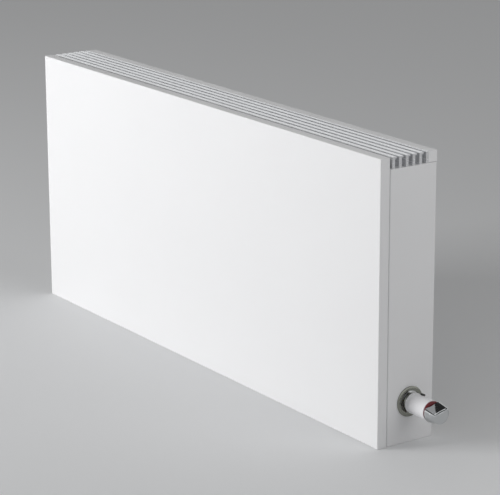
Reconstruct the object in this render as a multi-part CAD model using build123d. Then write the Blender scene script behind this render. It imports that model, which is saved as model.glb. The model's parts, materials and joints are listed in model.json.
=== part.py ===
"""Wall convector: a folded steel casing with a slotted aluminium top grille over a finned copper heat
exchanger, with a thermostatic valve whose head comes out of the right-hand side panel.

Millimetres. +X runs along the casing towards the thermostatic head, +Y points at the wall and +Z is up.
The wall plane is y = 0, the casing stands on z = 0 and x = 0 is the middle of its length.
"""

from build123d import *
import math
import os

os.makedirs("parts", exist_ok=True)

# Casing: overall size and sheet
LENGTH = 1100.0
HEIGHT = 500.0
DEPTH = 118.0
SHEET = 1.25
HALF_LENGTH = LENGTH / 2

# Front panel: a tray with returns on all four sides and a lip on each return
PANEL_RETURN = 18.5
PANEL_LIP = 10.0
PANEL_BEND = 1.6
PANEL_CORNER = 1.0
PANEL_BACK = -DEPTH + PANEL_RETURN
PANEL_INSIDE = -DEPTH + SHEET

# Side panels: trays that open inwards, behind a shadow gap
SIDE_HEIGHT = 480.0
SIDE_OUTSIDE = 549.0
SIDE_FLANGE = 20.0
SIDE_FRONT = PANEL_BACK + 2.1
SIDE_INSIDE_EDGE = SIDE_OUTSIDE - SIDE_FLANGE
SIDE_BEND = 2.5
SIDE_TOP_BEND = 1.2
VALVE_HOLE_RADIUS = 22.0

# Rear rails: the top one is a box with a flange that hangs down, the bottom one an angle
TOP_RAIL_DEPTH = 18.6
TOP_RAIL_SEAM = 0.6
TOP_RAIL_BOTTOM = SIDE_HEIGHT + TOP_RAIL_SEAM
TOP_RAIL_DROP = 446.0
RAIL_CAP = 1.6
BOTTOM_RAIL_HEIGHT = 38.0
BOTTOM_RAIL_DEPTH = 20.0
RAIL_TAB_START = 515.0
RAIL_TAB_END = 545.0
RAIL_TAB_INSET = 4.0

# Grille: five bars with a rearward flange and a plain rear bar, on tie rods with spacers
BAR_PITCH = 14.0
BAR_COUNT = 6
FIRST_BAR_FRONT = -93.6
BAR_STEM = 5.4
REAR_BAR_STEM = 4.6
BAR_FLANGE_WIDTH = 8.8
BAR_FLANGE_THICKNESS = 3.0
BAR_BOTTOM = SIDE_HEIGHT + 0.3
BAR_ROUNDING = 0.6
TIE_ROD_RADIUS = 2.5
TIE_ROD_HEIGHT = 487.0
TIE_ROD_PLACES = (-500.0, -250.0, 0.0, 250.0, 500.0)
SPACER_RADIUS = 4.5

# Stiffening inside the front panel and across the casing
BRACE = 1.5
HANGER_START = 515.0
HANGER_END = 545.0
HANGER_FOOT = 20.0
HANGER_Z = (20.0, 478.0)
STIFFENER_CENTRE = 183.0
STIFFENER_WIDTH = 30.0
STIFFENER_BACK = -99.0
SPREADER_BOTTOM = 440.0
SPREADER_FLANGE = 15.0
SPREADER_X = STIFFENER_CENTRE + STIFFENER_WIDTH / 2

# Wall brackets
BRACKET_CENTRE = 350.0
BRACKET_WIDTH = 50.0
BRACKET_SHEET = 2.0
BRACKET_EDGE = 6.0
BRACKET_BOTTOM = 40.0
BRACKET_JOGGLE = 428.0
BRACKET_TOP = SIDE_HEIGHT + 0.4
WALL_HOLE_RADIUS = 4.0
WALL_HOLE_LOW = 175.0
WALL_HOLE_HIGH = 415.0
ARM_WIDTH = 30.0
ARM_THICKNESS = 3.0
ARM_TIP = -96.0
ARM_LIP_TOP = 60.0
PAD_THICKNESS = 3.0

# Heat exchanger
EXCHANGER_Y = -50.0
FIN_HEIGHT = 100.0
FIN_DEPTH = 86.0
FIN_THICKNESS = 0.6
FIN_PITCH = 9.0
FIN_COUNT = 95
FIN_BOTTOM = BRACKET_BOTTOM + ARM_THICKNESS + PAD_THICKNESS
FIN_CENTRE_Z = FIN_BOTTOM + FIN_HEIGHT / 2
TUBE_RADIUS = 7.5
TUBE_WALL = 1.0
TUBE_SPREAD_Y = 21.0
TUBE_SPREAD_Z = 24.0
COLLAR_WALL = 0.4
HEADER_INNER_X = 455.0
HEADER_LENGTH = 28.0
HEADER_WALL = 4.0
HEADER_WIDTH = 72.0
HEADER_HEIGHT = 84.0
HEADER_CENTRE_X = HEADER_INNER_X + HEADER_LENGTH / 2
HEADER_OUTER_X = HEADER_INNER_X + HEADER_LENGTH
HEADER_TOP = FIN_CENTRE_Z + HEADER_HEIGHT / 2
TUBE_END = HEADER_INNER_X + HEADER_WALL

# Valve axis: it runs along X through the hole in the side panel
VALVE_Y = EXCHANGER_Y
VALVE_Z = 72.5
PORT_THREAD_RADIUS = 10.5
PORT_BOSS_RADIUS = 14.0
PORT_BOSS_END = HEADER_OUTER_X + 7.0
TAIL_BORE = 7.5
TAIL_FLANGE_START = 496.0
TAIL_FLANGE_END = 499.0
SEAL_END = 500.5
UNION_NUT_START = 492.0
UNION_NUT_END = 508.0
UNION_FLATS = 30.0
UNION_THREAD_RADIUS = 12.5

# Valve bodies: the same outside at both ends of the exchanger
BODY_END = 534.0
BODY_RADIUS = 15.0
SEAT_X = 514.0
SEAT_THICKNESS = 2.0
SEAT_RADIUS = 6.0
CHAMBER_RADIUS = 11.0
INLET_X = 519.3
INLET_RADIUS = 11.0
INLET_BOTTOM = 40.0
INLET_FLATS = 27.0
INLET_HEX_HEIGHT = 12.0
PIPE_THREAD_RADIUS = 9.3
PIPE_THREAD_LENGTH = 14.0
INLET_BORE = 8.0

# Thermostatic valve inside
BONNET_START = 528.0
BONNET_FLANGE_END = 537.0
BONNET_END = 549.0
BONNET_THREAD_RADIUS = 14.8
SPINDLE_RADIUS = 2.5
SPINDLE_BORE = 2.6
SPINDLE_END = 556.0
PLUG_FACE = 518.5
PLUG_THICKNESS = 4.0
PLUG_RADIUS = 9.0
SPRING_RADIUS = 6.0
SPRING_WALL = 1.2
SPRING_START = 524.4
SPRING_END = 527.8

# Thermostatic head
HEAD_NUT_START = 541.0
HEAD_NUT_END = 559.0
HEAD_NUT_RADIUS = 17.0
HEAD_NUT_COLLAR = 11.0
HEAD_NUT_STEP = 553.0
KNURL_COUNT = 30
KNURL_RADIUS = 0.7
SLEEVE_END = 607.4
SLEEVE_RADIUS = 18.0
SLEEVE_BORE = 15.5
SLEEVE_FLOOR = 563.0
SLEEVE_FOOT_RADIUS = 12.6
SLEEVE_GROOVE_X = 565.0
SLEEVE_GROOVE_WIDTH = 1.0
SLEEVE_GROOVE_DEPTH = 0.8
PUSH_ROD_RADIUS = 3.0
PUSH_ROD_BORE = 3.1
CAPSULE_START = 572.0
CAPSULE_END = 598.0
CAPSULE_RADIUS = 12.0
GRIP_START = 611.2
GRIP_END = 635.0
GRIP_BASE_RADIUS = 19.4
GRIP_END_RADIUS = 16.0
GRIP_FLAT_ROOT = 13.0
GRIP_FLAT_TIP = 7.0
GRIP_TURN = 14.0
GRIP_EDGE = 1.0
RED_RING_START = 607.8
RED_RING_RADIUS = 18.8
SPIGOT_END = 617.0
SPIGOT_RADIUS = 10.0
SPIGOT_BORE = 7.0
POINTER_START = 573.0
POINTER_LENGTH = 7.0
POINTER_WIDTH = 5.0
POINTER_HEIGHT = 3.0
POINTER_ANGLE = 19.0
ROSETTE_RADIUS = 27.0
ROSETTE_BORE = 19.5
ROSETTE_THICKNESS = 3.0

# Lockshield valve inside
LOCKSHIELD_WALL_START = 530.0
LOCKSHIELD_SPINDLE_RADIUS = 3.0
LOCKSHIELD_SPINDLE_BORE = 3.08
LOCKSHIELD_SPINDLE_END = 541.0
CONE_FACE = 520.5
CONE_THICKNESS = 4.0
LOCKSHIELD_SPINDLE_START = 517.0
LOCKSHIELD_CAP_END = 545.5
LOCKSHIELD_CAP_RADIUS = 17.0

# Plug and air vent on top of the headers
PLUG_THREAD_RADIUS = 8.2
PLUG_THREAD_LENGTH = 8.0
PLUG_FLATS = 19.0
PLUG_HEX_HEIGHT = 7.0
VENT_THREAD_RADIUS = 4.9
VENT_FLATS = 14.0
VENT_HEX_HEIGHT = 9.0
BLEED_RADIUS = 2.5
BLEED_BORE = 2.6
BLEED_START = 3.0
BLEED_END = 12.0
BLEED_SQUARE = 5.0

# Pan-head screws of the casing
SCREW_RADIUS = 2.0
SCREW_HEAD_RADIUS = 4.0
SCREW_HEAD_HEIGHT = 2.0
SCREW_HEAD_ROUNDING = 1.2
SCREW_LENGTH = 4.8
SCREW_TIP = -0.1
CORNER_SCREW_X = 537.0
CORNER_SCREW_Z = (22.0, 462.0)
SPREADER_SCREW_X = SPREADER_X + 8.0
SPREADER_SCREW_Z = 462.0
HANGER_SCREW_X = 534.0
HANGER_SCREW_Z = (60.0, 250.0, 440.0)

BASE = (Align.CENTER, Align.CENTER, Align.MIN)


def block(x, y, z):
    """Box between a low and a high limit on each axis."""
    middle = Pos((x[0] + x[1]) / 2, (y[0] + y[1]) / 2, (z[0] + z[1]) / 2)
    return middle * Box(x[1] - x[0], y[1] - y[0], z[1] - z[0])


def rod_x(low, high, radius, y=VALVE_Y, z=VALVE_Z):
    """Round bar along X, on the valve axis unless told otherwise."""
    return Plane((low, y, z), z_dir=(1, 0, 0)) * Cylinder(radius, high - low, align=BASE)


def rod_y(low, high, radius, x, z):
    """Round bar along Y."""
    return Plane((x, low, z), z_dir=(0, 1, 0)) * Cylinder(radius, high - low, align=BASE)


def rod_z(low, high, radius, x, y=EXCHANGER_Y):
    """Round bar along Z."""
    return Pos(x, y, low) * Cylinder(radius, high - low, align=BASE)


def hexagon_x(low, high, flats):
    """Six-sided bar along the valve axis, measured across its flats."""
    outline = Plane((low, VALVE_Y, VALVE_Z), z_dir=(1, 0, 0)) * RegularPolygon(flats / 2, 6, major_radius=False)
    return extrude(outline, amount=high - low)


def hexagon_z(low, high, flats, x):
    """Six-sided bar along Z, measured across its flats."""
    outline = Plane((x, EXCHANGER_Y, low)) * RegularPolygon(flats / 2, 6, major_radius=False)
    return extrude(outline, amount=high - low)


def mirrored(shape):
    """The same piece at the other end of the casing."""
    return mirror(shape, about=Plane.YZ)


def group(shapes):
    """Separate solids that share one node."""
    return Compound(children=list(shapes))


def screw(x, z, seat, tip):
    """Pan-head screw along Y: its head sits on the seat and its shank reaches to the tip."""
    head = Pos(0, 0, -SCREW_HEAD_HEIGHT) * Cylinder(SCREW_HEAD_RADIUS, SCREW_HEAD_HEIGHT, align=BASE)
    head = fillet(head.edges().group_by(Axis.Z)[0], SCREW_HEAD_ROUNDING)
    shank = Cylinder(SCREW_RADIUS, abs(tip - seat), align=BASE)
    direction = 1 if tip > seat else -1
    return Plane((x, seat, z), z_dir=(0, direction, 0)) * (head + shank)


def screws_at_back():
    """Screws from the rails' tabs and the spreaders' feet into the sheet at the wall plane."""
    corners = [screw(side * CORNER_SCREW_X, z, -2 * SHEET, SCREW_TIP) for side in (-1, 1) for z in CORNER_SCREW_Z]
    feet = [screw(side * SPREADER_SCREW_X, SPREADER_SCREW_Z, -2 * SHEET, SCREW_TIP) for side in (-1, 1)]
    return corners + feet


def screws_at_front():
    """Screws from the side panels' front flanges forwards into the hangers."""
    seat = SIDE_FRONT + SHEET
    return [screw(side * HANGER_SCREW_X, z, seat, seat - SCREW_LENGTH) for side in (-1, 1) for z in HANGER_SCREW_Z]


def front_panel():
    """Folded tray: the face, four returns and a lip on each return."""
    tray = block((-HALF_LENGTH, HALF_LENGTH), (-DEPTH, PANEL_BACK), (0, HEIGHT))
    tray = fillet(tray.edges().filter_by(Axis.Y), PANEL_CORNER)
    tray = fillet(tray.edges().group_by(Axis.Y)[0], PANEL_BEND)
    wide = HALF_LENGTH - SHEET
    hollow = block((-wide, wide), (PANEL_INSIDE, PANEL_BACK - SHEET), (SHEET, HEIGHT - SHEET))
    mouth_x = wide - PANEL_LIP
    mouth_z = (SHEET + PANEL_LIP, HEIGHT - SHEET - PANEL_LIP)
    mouth = block((-mouth_x, mouth_x), (PANEL_BACK - 2 * SHEET, PANEL_BACK + 1), mouth_z)
    return tray - hollow - mouth


def side_panel():
    """Right-hand side panel without its valve hole: a tray that opens inwards."""
    tray = block((SIDE_INSIDE_EDGE, SIDE_OUTSIDE), (SIDE_FRONT, 0), (0, SIDE_HEIGHT))
    tray = fillet(tray.edges().group_by(Axis.X)[-1].filter_by(Axis.Z), SIDE_BEND)
    tray = fillet(tray.edges().group_by(Axis.X)[-1].filter_by(Axis.Y), SIDE_TOP_BEND)
    inside = SIDE_OUTSIDE - SHEET
    hollow = block((SIDE_INSIDE_EDGE - 1, inside), (SIDE_FRONT + SHEET, -SHEET), (SHEET, SIDE_HEIGHT - SHEET))
    hollow = fillet(hollow.edges().group_by(Axis.X)[-1].filter_by(Axis.Z), SIDE_BEND - SHEET)
    return tray - hollow


def rail_tabs(low, high):
    """Tabs at the ends of a rail, one sheet in front of the side panels' rear flanges."""
    tab = block((RAIL_TAB_START, RAIL_TAB_END), (-2 * SHEET, -SHEET), (low, high))
    return tab + mirrored(tab)


def rear_top_rail():
    """Box along the rear top edge, with a flange that hangs behind the wall brackets' tongues."""
    end = SIDE_OUTSIDE - RAIL_CAP
    box = block((-end, end), (-TOP_RAIL_DEPTH, 0), (TOP_RAIL_BOTTOM, HEIGHT))
    box = fillet(box.edges().filter_by(Axis.X).group_by(Axis.Z)[-1], PANEL_CORNER)
    bore_y = (-TOP_RAIL_DEPTH + SHEET, -SHEET)
    bore = block((-end - 1, end + 1), bore_y, (TOP_RAIL_BOTTOM + SHEET, HEIGHT - SHEET))
    flange = block((-SIDE_INSIDE_EDGE, SIDE_INSIDE_EDGE), (-SHEET, 0), (TOP_RAIL_DROP, TOP_RAIL_BOTTOM))
    return box - bore + flange + rail_tabs(TOP_RAIL_DROP + RAIL_TAB_INSET, SIDE_HEIGHT - RAIL_TAB_INSET)


def rear_cap():
    """Welded plate that closes the right end of the rear top rail."""
    plate = block((SIDE_OUTSIDE - RAIL_CAP, SIDE_OUTSIDE), (-TOP_RAIL_DEPTH, 0), (TOP_RAIL_BOTTOM, HEIGHT))
    plate = fillet(plate.edges().filter_by(Axis.X).group_by(Axis.Z)[-1], PANEL_CORNER)
    return fillet(plate.edges().group_by(Axis.X)[-1], PANEL_CORNER)


def rear_bottom_rail():
    """Angle along the rear bottom edge: its back lies on the wall plane."""
    back = block((-SIDE_INSIDE_EDGE, SIDE_INSIDE_EDGE), (-SHEET, 0), (0, BOTTOM_RAIL_HEIGHT))
    foot = block((-SIDE_INSIDE_EDGE, SIDE_INSIDE_EDGE), (-BOTTOM_RAIL_DEPTH, -SHEET), (0, SHEET))
    return back + foot + rail_tabs(SHEET + RAIL_TAB_INSET, BOTTOM_RAIL_HEIGHT - RAIL_TAB_INSET)


def grille_bar(front):
    """Bar across the casing: an upright stem with a flange to the rear at the top."""
    length = (-SIDE_OUTSIDE, SIDE_OUTSIDE)
    stem = block(length, (front, front + BAR_STEM), (BAR_BOTTOM, HEIGHT))
    flange = block(length, (front, front + BAR_FLANGE_WIDTH), (HEIGHT - BAR_FLANGE_THICKNESS, HEIGHT))
    bar = stem + flange
    return fillet(bar.edges().filter_by(Axis.X).group_by(Axis.Z)[-1], BAR_ROUNDING)


def rear_grille_bar(front):
    """The last bar, a plain flat that stands against the rear top rail."""
    bar = block((-SIDE_OUTSIDE, SIDE_OUTSIDE), (front, front + REAR_BAR_STEM), (BAR_BOTTOM, HEIGHT))
    return fillet(bar.edges().filter_by(Axis.X).group_by(Axis.Z)[-1], BAR_ROUNDING)


def tie_rods():
    """Rods through all the bars, flush with the first and the last."""
    back = FIRST_BAR_FRONT + (BAR_COUNT - 1) * BAR_PITCH + REAR_BAR_STEM
    return [rod_y(FIRST_BAR_FRONT, back, TIE_ROD_RADIUS, x, TIE_ROD_HEIGHT) for x in TIE_ROD_PLACES]


def spacers():
    """Sleeves on the tie rods, one in each gap between two bars."""
    sleeves = []
    for x in TIE_ROD_PLACES:
        for gap in range(BAR_COUNT - 1):
            start = FIRST_BAR_FRONT + gap * BAR_PITCH + BAR_STEM
            end = FIRST_BAR_FRONT + (gap + 1) * BAR_PITCH
            sleeve = rod_y(start, end, SPACER_RADIUS, x, TIE_ROD_HEIGHT)
            sleeves.append(sleeve - rod_y(start - 1, end + 1, TIE_ROD_RADIUS, x, TIE_ROD_HEIGHT))
    return sleeves


def side_hanger():
    """Folded strip that joins the right side panel's front flange to the back of the face."""
    leg = block((HANGER_START, HANGER_END), (SIDE_FRONT - BRACE, SIDE_FRONT), HANGER_Z)
    web = block((HANGER_START, HANGER_START + BRACE), (PANEL_INSIDE, SIDE_FRONT), HANGER_Z)
    foot = block((HANGER_START, HANGER_START + HANGER_FOOT), (PANEL_INSIDE, PANEL_INSIDE + BRACE), HANGER_Z)
    return leg + web + foot


def panel_stiffener():
    """Channel on the back of the face, open to the rear."""
    low, high = STIFFENER_CENTRE - STIFFENER_WIDTH / 2, STIFFENER_CENTRE + STIFFENER_WIDTH / 2
    outer = block((low, high), (PANEL_INSIDE, STIFFENER_BACK), HANGER_Z)
    return outer - block((low + BRACE, high - BRACE), (PANEL_INSIDE + BRACE, 0), (0, HEIGHT))


def spreader():
    """Plate from the stiffener to the rear top rail, with a foot at the rear and a ledge under the grille."""
    across = (SPREADER_X, SPREADER_X + BRACE)
    ledge = (SPREADER_X, SPREADER_X + SPREADER_FLANGE)
    plate = block(across, (PANEL_INSIDE + 2 * BRACE, -SHEET), (SPREADER_BOTTOM, SIDE_HEIGHT))
    foot = block(ledge, (-2 * SHEET, -SHEET), (TOP_RAIL_DROP, SIDE_HEIGHT))
    top = block(ledge, (SIDE_FRONT, -SHEET), (SIDE_HEIGHT - BRACE, SIDE_HEIGHT))
    return plate + foot + top


def wall_bracket():
    """Upright channel on the wall with a cradle arm at the foot and a tongue at the head."""
    low, high = BRACKET_CENTRE - BRACKET_WIDTH / 2, BRACKET_CENTRE + BRACKET_WIDTH / 2
    upright = (BRACKET_BOTTOM, BRACKET_JOGGLE + BRACKET_SHEET)
    plate = block((low, high), (-BRACKET_SHEET, 0), upright)
    edge = block((low, low + BRACKET_SHEET), (-BRACKET_EDGE, 0), upright)
    other_edge = block((high - BRACKET_SHEET, high), (-BRACKET_EDGE, 0), upright)
    joggle = block((low, high), (-2 * BRACKET_SHEET, 0), (BRACKET_JOGGLE, BRACKET_JOGGLE + BRACKET_SHEET))
    tongue = block((low, high), (-2 * BRACKET_SHEET, -BRACKET_SHEET), (BRACKET_JOGGLE, BRACKET_TOP))
    across = (BRACKET_CENTRE - ARM_WIDTH / 2, BRACKET_CENTRE + ARM_WIDTH / 2)
    arm = block(across, (ARM_TIP, 0), (BRACKET_BOTTOM, BRACKET_BOTTOM + ARM_THICKNESS))
    lip = block(across, (ARM_TIP, ARM_TIP + BRACKET_SHEET), (BRACKET_BOTTOM, ARM_LIP_TOP))
    bracket = plate + edge + other_edge + joggle + tongue + arm + lip
    for z in (WALL_HOLE_LOW, WALL_HOLE_HIGH):
        bracket -= rod_y(-BRACKET_SHEET - 1, 1, WALL_HOLE_RADIUS, BRACKET_CENTRE, z)
    return bracket


def bracket_pad():
    """Rubber pad between the cradle arm and the fins."""
    across = (BRACKET_CENTRE - ARM_WIDTH / 2 + 2, BRACKET_CENTRE + ARM_WIDTH / 2 - 2)
    along = (ARM_TIP + BRACKET_SHEET + 2, -BRACKET_EDGE - 2)
    return block(across, along, (FIN_BOTTOM - PAD_THICKNESS, FIN_BOTTOM))


def tube_places():
    """Name and centre of each of the four tubes."""
    rows = (("lower", FIN_CENTRE_Z - TUBE_SPREAD_Z), ("upper", FIN_CENTRE_Z + TUBE_SPREAD_Z))
    columns = (("front", EXCHANGER_Y - TUBE_SPREAD_Y), ("rear", EXCHANGER_Y + TUBE_SPREAD_Y))
    return [(f"tube_{column}_{row}", y, z) for row, z in rows for column, y in columns]


def tube(y, z):
    """Copper tube from one header's chamber to the other's."""
    bore = rod_x(-TUBE_END - 1, TUBE_END + 1, TUBE_RADIUS - TUBE_WALL, y, z)
    return rod_x(-TUBE_END, TUBE_END, TUBE_RADIUS, y, z) - bore


def fin_pack():
    """Thin plates on the tubes, kept apart by the collars drawn from their holes."""
    outline = Rectangle(FIN_DEPTH, FIN_HEIGHT)
    for _, y, z in tube_places():
        outline -= Pos(y - EXCHANGER_Y, z - FIN_CENTRE_Z) * Circle(TUBE_RADIUS)
    first = -(FIN_COUNT - 1) * FIN_PITCH / 2 - FIN_THICKNESS / 2
    plane = Plane((0, EXCHANGER_Y, FIN_CENTRE_Z), x_dir=(0, 1, 0), z_dir=(1, 0, 0))
    fin = extrude(plane * outline, amount=FIN_THICKNESS)
    fins = [Pos(first + i * FIN_PITCH, 0, 0) * fin for i in range(FIN_COUNT)]
    collars = []
    for _, y, z in tube_places():
        collar = rod_x(first, -first, TUBE_RADIUS + COLLAR_WALL, y, z)
        collars.append(collar - rod_x(first - 1, 1 - first, TUBE_RADIUS, y, z))
    return fins[0].fuse(*fins[1:], *collars)


def header(top_thread_radius):
    """Right-hand header: a hollow block with tube holes, a valve port and a threaded hole on top."""
    half_width = HEADER_WIDTH / 2
    half_height = HEADER_HEIGHT / 2
    y_limits = (EXCHANGER_Y - half_width, EXCHANGER_Y + half_width)
    shell = block((HEADER_INNER_X, HEADER_OUTER_X), y_limits, (FIN_CENTRE_Z - half_height, HEADER_TOP))
    shell = fillet(shell.edges().filter_by(Axis.X), HEADER_WALL)
    shell += rod_x(HEADER_OUTER_X - 1, PORT_BOSS_END, PORT_BOSS_RADIUS)
    chamber = block(
        (HEADER_INNER_X + HEADER_WALL, HEADER_OUTER_X - HEADER_WALL),
        (y_limits[0] + HEADER_WALL, y_limits[1] - HEADER_WALL),
        (FIN_CENTRE_Z - half_height + HEADER_WALL, HEADER_TOP - HEADER_WALL),
    )
    shell -= chamber
    shell -= rod_x(HEADER_CENTRE_X, PORT_BOSS_END + 1, PORT_THREAD_RADIUS)
    shell -= rod_z(HEADER_TOP - HEADER_WALL - 1, HEADER_TOP + 1, top_thread_radius, HEADER_CENTRE_X)
    for _, y, z in tube_places():
        shell -= rod_x(HEADER_INNER_X - 1, TUBE_END + 1, TUBE_RADIUS, y, z)
    return shell


def header_plug():
    """Hexagon plug in the top of the right-hand header."""
    thread = rod_z(HEADER_TOP - PLUG_THREAD_LENGTH, HEADER_TOP, PLUG_THREAD_RADIUS, HEADER_CENTRE_X)
    return thread + hexagon_z(HEADER_TOP, HEADER_TOP + PLUG_HEX_HEIGHT, PLUG_FLATS, HEADER_CENTRE_X)


def air_vent_body():
    """Hexagon body of the air vent in the top of the left-hand header."""
    thread = rod_z(HEADER_TOP - PLUG_THREAD_LENGTH, HEADER_TOP, VENT_THREAD_RADIUS, -HEADER_CENTRE_X)
    body = thread + hexagon_z(HEADER_TOP, HEADER_TOP + VENT_HEX_HEIGHT, VENT_FLATS, -HEADER_CENTRE_X)
    return body - rod_z(HEADER_TOP - PLUG_THREAD_LENGTH - 1, HEADER_TOP + HEIGHT, BLEED_BORE, -HEADER_CENTRE_X)


def bleed_screw():
    """Screw of the air vent, with a square for the key."""
    low, high = HEADER_TOP + BLEED_START, HEADER_TOP + BLEED_END
    shank = rod_z(low, high, BLEED_RADIUS, -HEADER_CENTRE_X)
    square = (-BLEED_SQUARE / 2, BLEED_SQUARE / 2)
    key = block(square, square, (high, high + BLEED_SQUARE))
    return shank + Pos(-HEADER_CENTRE_X, EXCHANGER_Y, 0) * key


def union_tail():
    """Tailpiece: screwed into the header, with a flange that the union nut pulls on the valve."""
    tail = rod_x(HEADER_OUTER_X - HEADER_WALL, TAIL_FLANGE_START, PORT_THREAD_RADIUS)
    tail += rod_x(TAIL_FLANGE_START, TAIL_FLANGE_END, UNION_THREAD_RADIUS)
    return tail - rod_x(HEADER_INNER_X, SEAT_X, TAIL_BORE)


def union_seal():
    """Flat ring between the tailpiece and the valve."""
    return rod_x(TAIL_FLANGE_END, SEAL_END, UNION_THREAD_RADIUS) - rod_x(HEADER_OUTER_X, SEAT_X, TAIL_BORE)


def union_nut():
    """Hexagon nut over the tailpiece's flange and the valve's thread."""
    nut = hexagon_x(UNION_NUT_START, UNION_NUT_END, UNION_FLATS)
    nut -= rod_x(HEADER_OUTER_X, UNION_NUT_END, PORT_THREAD_RADIUS)
    return nut - rod_x(TAIL_FLANGE_START, UNION_NUT_END + 1, UNION_THREAD_RADIUS)


def valve_shell(chamber_end):
    """Angle valve body: threaded outlet, seat, chamber, and a pipe socket that points down."""
    body = rod_x(SEAL_END, UNION_NUT_END, UNION_THREAD_RADIUS) + rod_x(UNION_NUT_END, BODY_END, BODY_RADIUS)
    body += rod_z(INLET_BOTTOM, VALVE_Z, INLET_RADIUS, INLET_X)
    body += hexagon_z(INLET_BOTTOM, INLET_BOTTOM + INLET_HEX_HEIGHT, INLET_FLATS, INLET_X)
    body -= rod_x(HEADER_OUTER_X, SEAT_X, TAIL_BORE)
    body -= rod_x(SEAT_X - 1, SEAT_X + SEAT_THICKNESS + 1, SEAT_RADIUS)
    body -= rod_x(SEAT_X + SEAT_THICKNESS, chamber_end, CHAMBER_RADIUS)
    body -= rod_z(INLET_BOTTOM - 1, INLET_BOTTOM + PIPE_THREAD_LENGTH, PIPE_THREAD_RADIUS, INLET_X)
    return body - rod_z(INLET_BOTTOM, VALVE_Z - CHAMBER_RADIUS + 2, INLET_BORE, INLET_X)


def valve_bonnet():
    """Threaded neck that guides the spindle and takes the head's nut."""
    bonnet = rod_x(BONNET_START, BODY_END, CHAMBER_RADIUS)
    bonnet += hexagon_x(BODY_END, BONNET_FLANGE_END, UNION_FLATS)
    bonnet += rod_x(BONNET_FLANGE_END, BONNET_END, BONNET_THREAD_RADIUS)
    return bonnet - rod_x(INLET_X, SPINDLE_END, SPINDLE_BORE)


def valve_plug():
    """Disc that closes on the seat, with the spindle's socket."""
    disc = rod_x(PLUG_FACE, PLUG_FACE + PLUG_THICKNESS, PLUG_RADIUS)
    return disc - rod_x(PLUG_FACE + 1, BONNET_START, SPINDLE_RADIUS)


def valve_spring():
    """Outer shape of the spring that lifts the plug, at its shortest length."""
    return rod_x(SPRING_START, SPRING_END, SPRING_RADIUS) - rod_x(SEAT_X, BODY_END, SPRING_RADIUS - SPRING_WALL)


def head_nut():
    """Knurled nut that holds the head on the bonnet."""
    nut = rod_x(HEAD_NUT_START, HEAD_NUT_END, HEAD_NUT_RADIUS)
    nut = fillet(nut.edges().group_by(Axis.X)[-1], KNURL_RADIUS)
    nut -= rod_x(HEAD_NUT_START - 1, BONNET_END, BONNET_THREAD_RADIUS)
    nut -= rod_x(BONNET_END, HEAD_NUT_STEP, SLEEVE_FOOT_RADIUS)
    nut -= rod_x(HEAD_NUT_STEP, HEAD_NUT_END + 1, HEAD_NUT_COLLAR)
    for i in range(KNURL_COUNT):
        angle = 2 * math.pi * i / KNURL_COUNT
        y = VALVE_Y + HEAD_NUT_RADIUS * math.cos(angle)
        z = VALVE_Z + HEAD_NUT_RADIUS * math.sin(angle)
        nut -= rod_x(HEAD_NUT_START - 1, HEAD_NUT_STEP, KNURL_RADIUS, y, z)
    return nut


def head_sleeve():
    """White barrel of the head: a foot in the nut, a floor, and a groove near the nut."""
    sleeve = rod_x(BONNET_END + SEAT_THICKNESS, HEAD_NUT_STEP, SLEEVE_FOOT_RADIUS)
    sleeve += rod_x(HEAD_NUT_STEP, HEAD_NUT_END, HEAD_NUT_COLLAR)
    barrel = rod_x(HEAD_NUT_END, SLEEVE_END, SLEEVE_RADIUS)
    sleeve += fillet(barrel.edges().group_by(Axis.X)[0], SLEEVE_GROOVE_DEPTH)
    sleeve -= rod_x(SLEEVE_FLOOR, GRIP_END, SLEEVE_BORE)
    sleeve -= rod_x(HEAD_NUT_START, GRIP_END, PUSH_ROD_BORE)
    groove = rod_x(SLEEVE_GROOVE_X, SLEEVE_GROOVE_X + SLEEVE_GROOVE_WIDTH, SLEEVE_RADIUS + 1)
    groove -= rod_x(HEAD_NUT_START, GRIP_END, SLEEVE_RADIUS - SLEEVE_GROOVE_DEPTH)
    return sleeve - groove


def setting_pointer():
    """Small black block on the barrel that the setting is read against."""
    base = SLEEVE_RADIUS - 1
    height = POINTER_HEIGHT + 1
    bar = Pos(0, 0, base) * Box(POINTER_LENGTH, POINTER_WIDTH, height, align=BASE)
    bar = fillet(bar.edges().group_by(Axis.Z)[-1], POINTER_HEIGHT / 3)
    bar = Pos(POINTER_START + POINTER_LENGTH / 2, VALVE_Y, VALVE_Z) * (Rot(-POINTER_ANGLE, 0, 0) * bar)
    return bar - rod_x(HEAD_NUT_END, GRIP_END, SLEEVE_RADIUS)


def grip_waste():
    """What the slanted flat on top of the grip cuts away."""
    wide = 2 * GRIP_BASE_RADIUS
    slope = (GRIP_FLAT_TIP - GRIP_FLAT_ROOT) / (GRIP_END - GRIP_START)
    before, after = GRIP_START - 2, GRIP_END + 2
    corners = [
        (before, VALVE_Z + GRIP_FLAT_ROOT + slope * (before - GRIP_START)),
        (after, VALVE_Z + GRIP_FLAT_TIP + slope * (after - GRIP_END)),
        (after, VALVE_Z + wide),
        (before, VALVE_Z + wide),
    ]
    plane = Plane((0, VALVE_Y + wide, 0), x_dir=(1, 0, 0), z_dir=(0, -1, 0))
    return extrude(plane * make_face(Polyline(*corners, close=True)), amount=2 * wide)


def grip_cap():
    """Chromed grip: tapered, with a slanted flat that faces up and a little to the front."""
    plane = Plane((GRIP_START, VALVE_Y, VALVE_Z), z_dir=(1, 0, 0))
    cap = plane * Cone(GRIP_BASE_RADIUS, GRIP_END_RADIUS, GRIP_END - GRIP_START, align=BASE)
    cap -= grip_waste()
    flat_edges = cap.faces().sort_by(Axis.Z)[-1].edges()
    cap = fillet(flat_edges.filter_by(lambda edge: edge.center().X > GRIP_START + 1), GRIP_EDGE)
    cap -= rod_x(GRIP_START - 1, SPIGOT_END, SPIGOT_RADIUS)
    axis = Pos(0, VALVE_Y, VALVE_Z)
    return axis * (Rot(GRIP_TURN, 0, 0) * (axis.inverse() * cap))


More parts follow.
